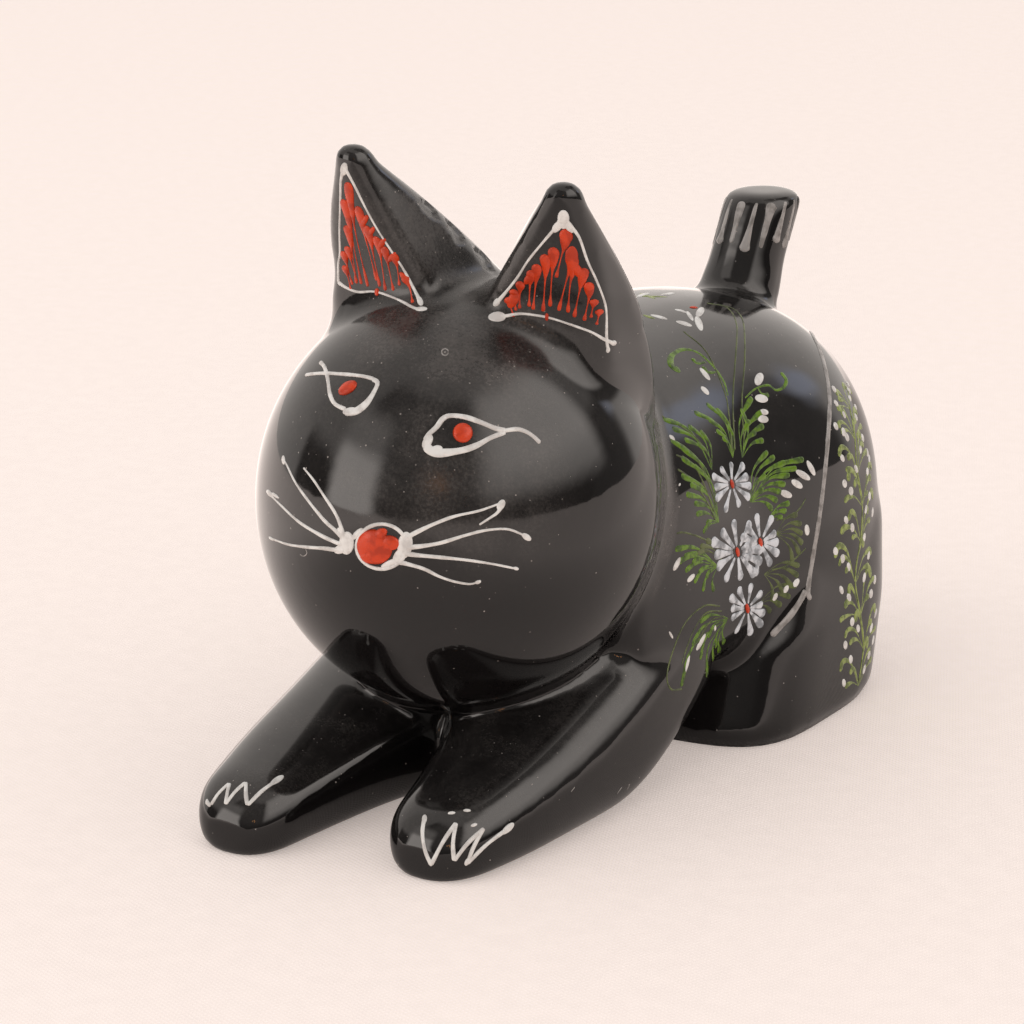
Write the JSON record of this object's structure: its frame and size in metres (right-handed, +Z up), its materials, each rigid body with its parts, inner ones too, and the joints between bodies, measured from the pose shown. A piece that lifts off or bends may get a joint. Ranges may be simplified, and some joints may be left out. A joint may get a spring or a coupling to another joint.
{
  "type": "cat statuette",
  "caption": "Small crouching cat figure with a ball-shaped head, upright ears, outstretched forelegs and a short peg tail, standing on its flat underside.",
  "frame": {"origin": "on the floor under the middle of the figure's bounding box", "axes": "-Y is the way the cat faces, +X is its left side, +Z is up"},
  "size_m": [0.0444, 0.0906, 0.0654],
  "materials": {
    "black_lacquered_wood": "black gloss lacquer with hand-painted lines and flowers"
  },
  "bodies": {
    "root": {"cat_figure": "black_lacquered_wood"}
  },
  "joints": []
}
